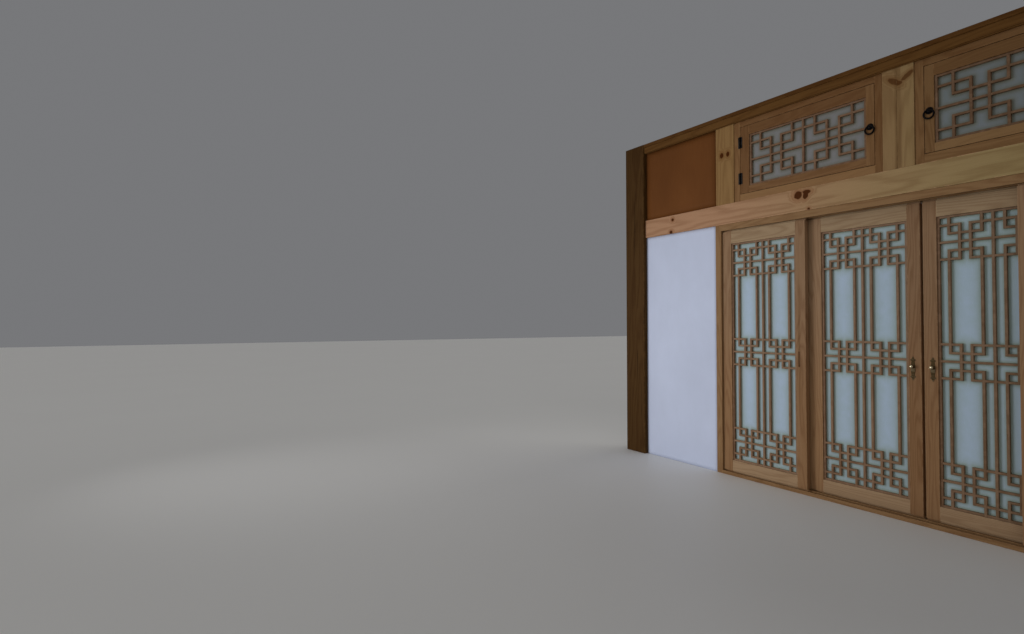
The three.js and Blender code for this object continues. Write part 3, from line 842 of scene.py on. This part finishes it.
class WALL_OT_door_frame(bpy.types.Operator):
    """Head and sill with their two grooves, and the two jambs"""

    bl_idname = "wall.door_frame"
    bl_label = "Door frame"

    def execute(self, context):
        radius = size("leaf_arris")
        for number, name, luck, low, high in each(41, "door_head", "door_sill"):
            outline, edge = soften(grooved(low, high, name == "door_sill"), radius, 0.004)
            part = carried(outline, edge, low[0], high[0], "x", luck, 0.0005, tone=0.5 + 0.4 * number)
            build(name + "_timber", [part], "frame_wood", "frame_wood", name)
        for _, name, luck, low, high in each(45, "left_jamb", "right_jamb"):
            build(name + "_timber", [member(low, high, "z", radius, luck)], "frame_wood", "frame_wood", name)
        return {"FINISHED"}


class WALL_OT_plaster(bpy.types.Operator):
    """Plaster beside the doors: a sheet whose faces rise and fall gently in three crossing sine waves"""

    bl_idname = "wall.plaster"
    bl_label = "Plaster"

    def execute(self, context):
        depth = size("plaster_wave")
        for _, name, luck, low, high in each(50, "left_plaster", "right_plaster"):
            turn = luck.uniform(0, 6.28, 3)

            def wave(x, z, turn=turn):
                swell = (np.sin(4.1 * x + 2.3 * z + turn[0]) + np.sin(7.3 * z - 5.2 * x + turn[1])
                         + np.sin(11.0 * x + 9.0 * z + turn[2]))
                return depth * (swell + 3) / 6

            across, up = np.linspace(low[0], high[0], 25), np.linspace(low[2], high[2], 61)
            part = sheet_between(low, high, across, up, wave, wave, luck)
            build(name + "_coat", [part], "plaster", "plaster", name)
        return {"FINISHED"}


def pocketed(low, high, x, z, luck):
    """A stile with a finger grip at x and z: its front sinks by d p(x) p(z), where p rises straight from 0
    just outside the grip's rim to 1 just inside it."""
    half_rim = 0.0005
    corners = [(low[0], low[1]), (x - GRIP_HALF_X, low[1]), (x + GRIP_HALF_X, low[1]), (high[0], low[1]),
               (high[0], high[1]), (low[0], high[1])]
    outline, edge = soften(corners, size("leaf_arris"), 0.003)
    rim = [z + side * (GRIP_HALF_Z + step) for side in (-1, 1) for step in (-0.004, -0.0015, 0, 0.0015)]

    def sunk(points):
        inside = [np.clip((half + half_rim - np.abs(points[..., axis] - middle)) / (2 * half_rim), 0, 1)
                  for axis, middle, half in ((0, x, GRIP_HALF_X), (2, z, GRIP_HALF_Z))]
        on_front = points[..., 1] < low[1] + half_rim
        points[..., 1] += np.where(on_front, GRIP_DEPTH * inside[0] * inside[1], 0)
        return points

    return carried(outline, edge, low[2], high[2], "z", luck, LEAF_ENDS, stations=rim, shape=sunk)


class WALL_OT_leaves(bpy.types.Operator):
    """Stiles and rails of the sliding leaves, with the tongues that run in the grooves"""

    bl_idname = "wall.leaves"
    bl_label = "Leaf frames"

    def execute(self, context):
        radius = size("leaf_arris")
        roles = ("left_stile", "right_stile", "top_rail", "bottom_rail")
        for number, leaf in enumerate(LEAVES):
            head = reach(leaf + "_left_stile")[1][2] - TONGUE_HEIGHT
            nodes = [f"{leaf}_{role}" for role in roles]
            for count, name, luck, low, high in each(100 + 10 * number, *nodes):
                lipped = name == LIPPED_STILE
                rail = name.endswith("rail")
                body_low = np.array([low[0], low[1], max(low[2], LEAF_FOOT)])
                body_high = np.array([high[0] - LIP_REACH * lipped, high[1], min(high[2], head)])
                if name in GRIPS:
                    parts = [pocketed(body_low, body_high, GRIPS[name], GRIP_Z, luck)]
                else:
                    tone = LEAF_TONES.get(roles[count] if rail else name)
                    parts = [member(body_low, body_high, "x" if rail else "z", radius, luck,
                                    round_end=LEAF_ENDS, tone=tone)]
                if lipped:
                    lip_low = np.array([body_high[0] - 0.001, body_high[1] - LIP_THICKNESS,
                                        body_low[2] - LIP_FOOT])
                    lip_high = np.array([high[0] + LIP_SIDE, body_high[1] - HIDDEN, body_high[2] + LIP_HEAD])
                    parts.append(member(lip_low, lip_high, "z", radius, luck, round_end=LEAF_ENDS))
                tongues = []
                if low[2] < LEAF_FOOT:
                    tongues.append((low[2], LEAF_FOOT + TONGUE_ROOT))
                if high[2] > head:
                    tongues.append((head - TONGUE_ROOT, high[2]))
                middle = (low[1] + high[1]) / 2
                for bottom, top in tongues:
                    tongue_low = np.array([low[0] + HIDDEN, middle - TONGUE_HALF, bottom])
                    tongue_high = np.array([body_high[0] - HIDDEN, middle + TONGUE_HALF, top])
                    parts.append(member(tongue_low, tongue_high, "x", 0.0008, luck, round_end=0.0004))
                build(name + "_timber", parts, "rail_wood" if rail else "stile_wood", "sash_wood", name)
        return {"FINISHED"}


def bar_layout(bands, rows):
    """Bars as (from column, from row, to column, to row) in cells from the top left corner. A band is four
    cells high, with a chain of hooked squares and a full middle bar."""
    bars = []
    for index, first in enumerate(bands):
        last = first + 4
        above = 0 if index == 0 else bands[index - 1] + 3
        bars += [(a, row, b, row) for row in (first, last) for a, b in ((0, 2), (3, 7), (8, 10))]
        bars += [(a, row, b, row) for row in (first + 1, last - 1) for a, b in ((1, 4), (6, 9))]
        bars.append((0, first + 2, COLUMNS, first + 2))
        bars += [(column, first, column, last) for column in (2, 3, 7, 8)]
        bars += [(column, above, column, first + 1) for column in (1, 4, 6, 9)]
        if index == len(bands) - 1:
            bars += [(column, last - 1, column, rows) for column in (1, 4, 6, 9)]
    bars += [(column, 0, column, rows) for column in (0, COLUMNS // 2, COLUMNS)]
    bars += [(0, row, COLUMNS, row) for row in (0, rows)]
    return bars


def bar_boxes(low, high, bands, rows):
    """The box of each bar of a lattice, as (x0, x1, z0, z1, upright)."""
    column = (high[0] - low[0] - BAR_WIDTH) / COLUMNS
    row = (high[2] - low[2] - BAR_WIDTH) / rows
    return [(low[0] + a * column, low[0] + b * column + BAR_WIDTH,
             high[2] - s * row - BAR_WIDTH, high[2] - r * row, a == b)
            for a, r, b, s in bar_layout(bands, rows)]


class WALL_OT_lattices(bpy.types.Operator):
    """Lattice bars of the leaves and the upper doors, each a chamfered bar, halved into each other"""

    bl_idname = "wall.lattices"
    bl_label = "Lattices"

    def execute(self, context):
        step, chamfer, inset = size("bar_step"), size("bar_arris"), 0.00025
        for number, (owner, bands, rows) in enumerate(LATTICES):
            luck = np.random.default_rng(200 + number)
            low, high = reach(owner + "_lattice")
            # The upper doors' bars are darker as painted shade under the ceiling.
            darker = UPPER_BAR_SHADE if owner in UPPER_DOORS else 0.0
            parts = []
            for x0, x1, z0, z1, upright in bar_boxes(low, high, bands, rows):
                if upright:
                    # The first upright bar is darker as painted shade of the stile beside it.
                    tone = FIRST_BAR_SHADE if x0 == low[0] else darker
                    parts.append(bar((x0, low[1], z0), (x1, high[1], z1), "z", chamfer, luck, tone))
                else:
                    parts.append(bar((x0 + inset, low[1] + step, z0 + inset),
                                     (x1 - inset, high[1] - inset, z1 - inset), "x", chamfer, luck, darker))
            build(owner + "_bars", parts, "bar_wood", "lattice_wood", owner + "_lattice")
        return {"FINISHED"}


class WALL_OT_papers(bpy.types.Operator):
    """Paper behind each lattice: it is held at the bars and slack between them, by a depth times the square
    of the distance to the nearest bar"""

    bl_idname = "wall.papers"
    bl_label = "Papers"

    def execute(self, context):
        depth = size("paper_wave")
        for number, (owner, bands, rows) in enumerate(LATTICES):
            luck = np.random.default_rng(300 + number)
            low, high = reach(owner + "_paper")
            boxes = bar_boxes(low, high, bands, rows)
            turn = luck.uniform(0, 6.28, 2)

            def free(x, z, boxes=boxes):
                """Distance to the nearest bar."""
                away = np.full(x.shape, 1.0)
                for x0, x1, z0, z1, _ in boxes:
                    dx = np.maximum(np.maximum(x0 - x, x - x1), 0)
                    dz = np.maximum(np.maximum(z0 - z, z - z1), 0)
                    away = np.minimum(away, np.hypot(dx, dz))
                return away

            def slack(x, z, turn=turn, free=free):
                ripple = 0.75 + 0.25 * np.sin(31 * x + 9 * z + turn[0]) * np.sin(17 * z - 8 * x + turn[1])
                return depth * np.clip(free(x, z) / 0.02, 0, 1) ** 2 * ripple

            across = np.linspace(low[0], high[0], 10 * COLUMNS + 1)
            up = np.linspace(low[2], high[2], 6 * rows + 1)
            part = sheet_between(low, high, across, up, slack, lambda x, z: 0.4 * slack(x, z), luck)
            # Near the bars the paper is darker: glue, and painted shade and painted reflection of the bars.
            part.edge = np.exp(-free(part.points[:, 0], part.points[:, 2]) / GLUE_AND_SHADE_SPREAD)
            # The upper doors' paper is painted darker and greyer, as shade under the ceiling.
            look = "old_paper" if owner in UPPER_DOORS else "door_paper"
            build(owner + "_sheet", [part], look, "door_paper", owner + "_paper")
        return {"FINISHED"}


class WALL_OT_upper_boards(bpy.types.Operator):
    """Pine boards of the upper row, and the brown panels at its ends, whose faces swell towards their middle
    by a depth times a parabola across and a parabola up"""

    bl_idname = "wall.upper_boards"
    bl_label = "Upper boards"

    def execute(self, context):
        for number, (name, look, tone) in enumerate(BOARDS):
            luck = np.random.default_rng(400 + number)
            low, high = reach(name)
            corners = rectangle(low[0], high[0], low[1], high[1])
            if name == "mullion_left_board":
                corners[1:2] = [(high[0] - V_JOINT, low[1]), (high[0] - 0.0003, low[1] + V_JOINT)]
            if name == "mullion_right_board":
                corners[0:1] = [(low[0] + 0.0003, low[1] + V_JOINT), (low[0] + V_JOINT, low[1])]
            outline, edge = soften(corners, 0.0009, 0.0045)
            part = carried(outline, edge, low[2], high[2], "z", luck, 0.0005, 0.0045, tone=tone)
            build(name + "_timber", [part], look, "pine", name)
        for _, name, luck, low, high in each(420, "upper_left_panel", "upper_right_panel"):
            across, up = np.linspace(low[0], high[0], 13), np.linspace(low[2], high[2], 13)

            def bow(x, z, low=low, high=high):
                u, v = (x - low[0]) / (high[0] - low[0]), (z - low[2]) / (high[2] - low[2])
                return PANEL_BOW * (1 - 16 * u * (1 - u) * v * (1 - v))

            part = sheet_between(low, high, across, up, bow, bow, luck)
            build(name + "_sheet", [part], "brown_board", "brown_board", name)
        return {"FINISHED"}


def frame_members(outer, hole, seed, tones):
    """Two uprights the whole height and two rails between them round a rectangular hole; tones says how dark
    the left, right, upper and lower ones are."""
    (x0, y0, z0), (x3, y1, z3) = outer
    (x1, _, z1), (x2, _, z2) = hole
    spans = (("z", x0, x1, z0, z3), ("z", x2, x3, z0, z3), ("x", x1, x2, z2, z3), ("x", x1, x2, z0, z1))
    parts = []
    for number, ((axis, left, right, bottom, top), tone) in enumerate(zip(spans, tones)):
        luck = np.random.default_rng(seed + number)
        parts.append(member((left, y0, bottom), (right, y1, top), axis, size("leaf_arris"), luck,
                            round_end=LEAF_ENDS, tone=tone))
    return parts


class WALL_OT_upper_doors(bpy.types.Operator):
    """Casings and sashes of the upper doors, framed of two uprights and two rails"""

    bl_idname = "wall.upper_doors"
    bl_label = "Upper doors"

    def execute(self, context):
        for number, door in enumerate(UPPER_DOORS):
            casing, sash, light = (reach(f"{door}_{piece}") for piece in ("casing", "sash", "lattice"))
            rebate = (sash[0] - SASH_GAP, sash[1] + SASH_GAP)
            for piece, outer, hole, seed, tones, slot in (
                ("casing", casing, rebate, 500, CASING_TONES, "frame_wood"),
                ("sash", sash, light, 520, SASH_TONES, "sash_wood"),
            ):
                # The doors' tones paint the shade under the ceiling onto the upper rails, and leave the lower
                # rails paler.
                parts = frame_members(outer, hole, seed + 10 * number, tones[number])
                build(f"{door}_{piece}_timber", parts, piece + "_wood", slot, f"{door}_{piece}")
        return {"FINISHED"}


def screw_head(centre, radius, luck):
    """A low dome, radius times the cosine of an angle against its height times the sine."""
    rise = 0.0009
    t = np.linspace(0, np.pi / 2, 5)
    profile = [(0, 0.0008)] + [(radius * math.cos(a), -rise * math.sin(a)) for a in t[:-1]] + [(0, -rise)]
    return turned(profile, centre, "y", luck, 14)


class WALL_OT_hinges(bpy.types.Operator):
    """Iron hinges: two plates with screws, and a barrel of five knuckles with a ball at each end"""

    bl_idname = "wall.hinges"
    bl_label = "Hinges"

    def execute(self, context):
        plate, arbor, knuckle = 0.002, 0.0038, 0.0050
        for number, door in enumerate(UPPER_DOORS):
            for level in ("lower", "upper"):
                name = f"{door}_{level}_hinge"
                luck = np.random.default_rng(600 + number)
                low, high = reach(name)
                middle = (low + high) / 2
                face = high[1]
                parts = []
                for side in (-1, 1):
                    x0, x1 = sorted((middle[0] + side * 0.0012, middle[0] + side * (high[0] - middle[0])))
                    corners = rectangle(x0, x1, low[2] + 0.001, high[2] - 0.001)
                    outline, edge = soften(corners, 0.0016, 0.003, 3)
                    parts.append(carried(outline, edge, face - plate, face + HIDDEN, "y", luck,
                                         0.0005, 0.0009))
                    for lift in (-0.026, -0.009, 0.014, 0.026):
                        centre = (middle[0] + side * 0.0100, face - plate, middle[2] + lift)
                        parts.append(screw_head(centre, 0.0021, luck))
                half = (high[2] - low[2]) / 2
                heights = np.linspace(-half + 0.003, half - 0.003, 6)
                profile = [(0, -half), (0.0032, -half + 0.0004), (arbor, -half + 0.0018)]
                for start, end in zip(heights[:-1], heights[1:]):
                    profile += [(arbor, start), (0.0049, start + 0.0006), (knuckle, start + 0.0015),
                                (knuckle, end - 0.0015), (0.0049, end - 0.0006), (arbor, end)]
                profile += [(arbor, half - 0.0018), (0.0032, half - 0.0004), (0, half)]
                parts.append(turned(profile, (middle[0], face - knuckle, middle[2]), "z", luck, 20))
                build(name + "_iron", parts, "blackened_iron", "blackened_iron", name)
        return {"FINISHED"}


class WALL_OT_rings(bpy.types.Operator):
    """Ring pulls: a beaded and domed boss, the eye on it and the ring that hangs from the eye"""

    bl_idname = "wall.rings"
    bl_label = "Ring pulls"

    def execute(self, context):
        boss = [(0, 0.0005), (0.0178, 0.0005), (0.0180, -0.0006), (0.0174, -0.0018), (0.0162, -0.0022),
                (0.0150, -0.0016), (0.0138, -0.0018), (0.0126, -0.0040), (0.0108, -0.0066),
                (0.0080, -0.0088), (0.0044, -0.0101), (0, -0.0105)]
        for _, name, luck, low, high in each(650, *(door + "_ring_pull" for door in UPPER_DOORS)):
            x, z, face = (low[0] + high[0]) / 2, high[2] - 0.018, high[1]
            parts = [turned(boss, (x, face, z), "y", luck, 36)]
            parts.append(hoop((x, face - 0.0075, z - 0.001), 0.0042, 0.0014, "x", luck, steps=28, around=10))
            parts.append(hoop((x, face - 0.0076, z - 0.018), 0.022, size("wire"), "y", luck, tilt=-0.03))
            build(name + "_iron", parts, "blackened_iron", "blackened_iron", name)
        return {"FINISHED"}


class WALL_OT_pulls(bpy.types.Operator):
    """Bronze pulls: a notched plate with a pointed finial at each end, a boss, pins and a turned knob"""

    bl_idname = "wall.pulls"
    bl_label = "Bronze pulls"

    def execute(self, context):
        side = [(0.30, 0.88), (0.36, 0.80), (1.0, 0.70), (0.50, 0.60), (0.56, 0.40), (0.74, 0.22)]
        right = side + [(u, -v) for u, v in side[::-1]]
        notched = [(0, 1)] + right + [(0, -1)] + [(-u, v) for u, v in right[::-1]]
        rose = [(0, 0.0), (0.0108, -0.0021), (0.0110, -0.0028), (0.0103, -0.0036), (0.0091, -0.0038),
                (0.0080, -0.0033), (0.0068, -0.0040), (0.0056, -0.0056), (0, -0.0058)]
        knob = [(0, 0.0), (0.0046, 0.0), (0.0048, -0.0030), (0.0036, -0.0060), (0.0037, -0.0095),
                (0.0052, -0.0122), (0.0074, -0.0142), (0.0084, -0.0163), (0.0087, -0.0185),
                (0.0082, -0.0207), (0.0068, -0.0225), (0.0046, -0.0236), (0.0022, -0.0240), (0, -0.0240)]
        for _, name, luck, low, high in each(700, "leaf_2_pull", "leaf_3_pull"):
            x, z, face = (low[0] + high[0]) / 2, (low[2] + high[2]) / 2, high[1]
            half, tall = (high[0] - low[0]) / 2, (high[2] - low[2]) / 2
            outline, edge = soften([(x + half * u, z + tall * v) for u, v in notched], 0.0022, 0.0030, 3)
            parts = [carried(outline, edge, face - 0.0025, face + 0.0001, "y", luck, 0.0007, 0.0011)]
            parts.append(turned(rose, (x, face, z + KNOB_RISE), "y", luck))
            for lift in (-0.043, 0.043):
                parts.append(screw_head((x, face - 0.0024, z + lift), 0.0023, luck))
            build(name + "_plate", parts, "bronze", "bronze", name)
            grip = turned(knob, (x, face - 0.0025, z + KNOB_RISE), "y", luck, 36)
            build(name + "_knob", [grip], "brass", "bronze", name)
        return {"FINISHED"}


# Stage

def add_light(name, kind, settings, place, direction):
    lamp = bpy.data.lights.new(name, kind)
    for label, value in settings.items():
        setattr(lamp, label, value)
    light = bpy.data.objects.new(name, lamp)
    light.location = place
    light.rotation_euler = direction.to_track_quat("-Z", "Y").to_euler()
    bpy.context.scene.collection.objects.link(light)
    return light


class WALL_OT_stage(bpy.types.Operator):
    """Plain pale floor, soft lights, pale surroundings and the camera"""

    bl_idname = "wall.stage"
    bl_label = "Stage"

    def execute(self, context):
        scene = context.scene
        scene.view_settings.view_transform = "Standard"
        side = np.linspace(-FLOOR_HALF, FLOOR_HALF, 3)
        x, y = np.meshgrid(side, side, indexing="ij")
        points = placed("z", -FLOOR_BELOW, x, y).reshape(-1, 3)
        mesh = bpy.data.meshes.new("stage_floor")
        mesh.from_pydata(points.tolist(), [], grid_faces(3, 3, False)[:, ::-1].tolist())
        finish = Finish("stage_floor")
        cloud = finish.noise(finish.object, 0.8, 3.0)
        colour = finish.mix(cloud * 0.4, paint("floor"), tinted(paint("floor"), 0.93))
        mesh.materials.append(finish.surface({"Base Color": colour, "Roughness": cloud * 0.1 + 0.5}, {}))
        floor = bpy.data.objects.new("stage_floor", mesh)
        scene.collection.objects.link(floor)

        scene.world = bpy.data.worlds.new("pale_surroundings")
        scene.world.use_nodes = True
        for label, value in SURROUNDINGS.items():
            scene.world.node_tree.nodes["Background"].inputs[label].default_value = value
        for name, place, power, width, tint in SUNS:
            settings = {"energy": power, "color": tint, "angle": math.radians(width)}
            add_light(name, "SUN", settings, Vector(place) * SUN_DISTANCE, -Vector(place))
        aim = Vector(WINDOW_AIM) - Vector(WINDOW_PLACE)
        add_light("window_light", "SPOT", WINDOW_LIGHT, WINDOW_PLACE, aim).visible_camera = False

        camera = bpy.data.cameras.new("photo_camera")
        camera.sensor_width = SENSOR
        camera.lens = FOCAL_PIXELS * SENSOR / IMAGE_WIDTH
        camera.shift_y = SHIFT_PIXELS / IMAGE_WIDTH
        camera.clip_end = 100.0
        eye = bpy.data.objects.new("photo_camera", camera)
        stand = Matrix.Translation(CAMERA_PLACE)
        for angle, axis in CAMERA_TURNS:
            stand = stand @ Matrix.Rotation(math.radians(angle), 4, axis)
        eye.matrix_world = stand
        scene.collection.objects.link(eye)
        scene.camera = eye
        return {"FINISHED"}


class WALL_PT_panel(bpy.types.Panel):
    bl_idname = "WALL_PT_panel"
    bl_label = "Lattice Door Wall"
    bl_space_type = "VIEW_3D"
    bl_region_type = "UI"
    bl_category = "Wall"

    def draw(self, context):
        layout = self.layout
        for group in (context.scene.wall_sizes, context.scene.wall_colours):
            column = layout.column()
            for label in group.__annotations__:
                column.prop(group, label)
        for operator in OPERATORS:
            layout.operator(operator.bl_idname)


OPERATORS = (
    WALL_OT_posts, WALL_OT_moulding, WALL_OT_beam, WALL_OT_door_frame, WALL_OT_plaster, WALL_OT_leaves,
    WALL_OT_lattices, WALL_OT_papers, WALL_OT_upper_boards, WALL_OT_upper_doors, WALL_OT_hinges,
    WALL_OT_rings, WALL_OT_pulls, WALL_OT_stage,
)
CLASSES = (WallSizes, WallColours, *OPERATORS, WALL_PT_panel)


def register():
    for kind in CLASSES:
        bpy.utils.register_class(kind)
    bpy.types.Scene.wall_sizes = bpy.props.PointerProperty(type=WallSizes)
    bpy.types.Scene.wall_colours = bpy.props.PointerProperty(type=WallColours)


def unregister():
    del bpy.types.Scene.wall_colours
    del bpy.types.Scene.wall_sizes
    for kind in reversed(CLASSES):
        bpy.utils.unregister_class(kind)


def main():
    register()
    for operator in OPERATORS:
        getattr(bpy.ops.wall, operator.bl_idname.split(".")[1])()
    bpy.context.view_layer.update()


if __name__ == "__main__":
    main()
